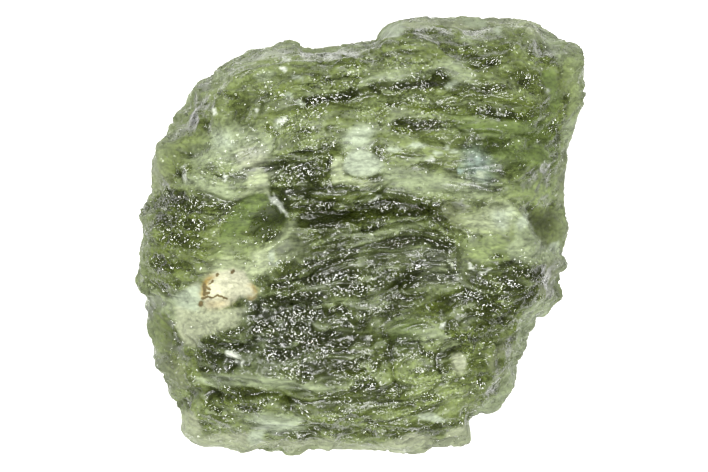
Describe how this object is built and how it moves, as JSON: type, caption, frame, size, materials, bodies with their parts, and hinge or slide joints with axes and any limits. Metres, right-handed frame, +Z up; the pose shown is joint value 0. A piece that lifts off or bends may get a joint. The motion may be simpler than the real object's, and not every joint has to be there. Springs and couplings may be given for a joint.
{
  "type": "moldavite",
  "caption": "Natural moldavite: a blocky lump of translucent green tektite glass, etched all over into flow ridges, ledges and pits, resting on a small flat spot.",
  "frame": {"origin": "under the middle of the stone's outline seen from above, at the level of the flat spot that it rests on", "axes": "+Z up, out of the main ridged face; +Y towards the far side, with the ledge that stands proud at its right; +X to the right seen from above"},
  "size_m": [0.0223, 0.022, 0.0113],
  "materials": {
    "green_glass": "naturally etched, glossy in patches, translucent with cloudy veils"
  },
  "bodies": {
    "root": {"moldavite": "green_glass"}
  },
  "joints": []
}
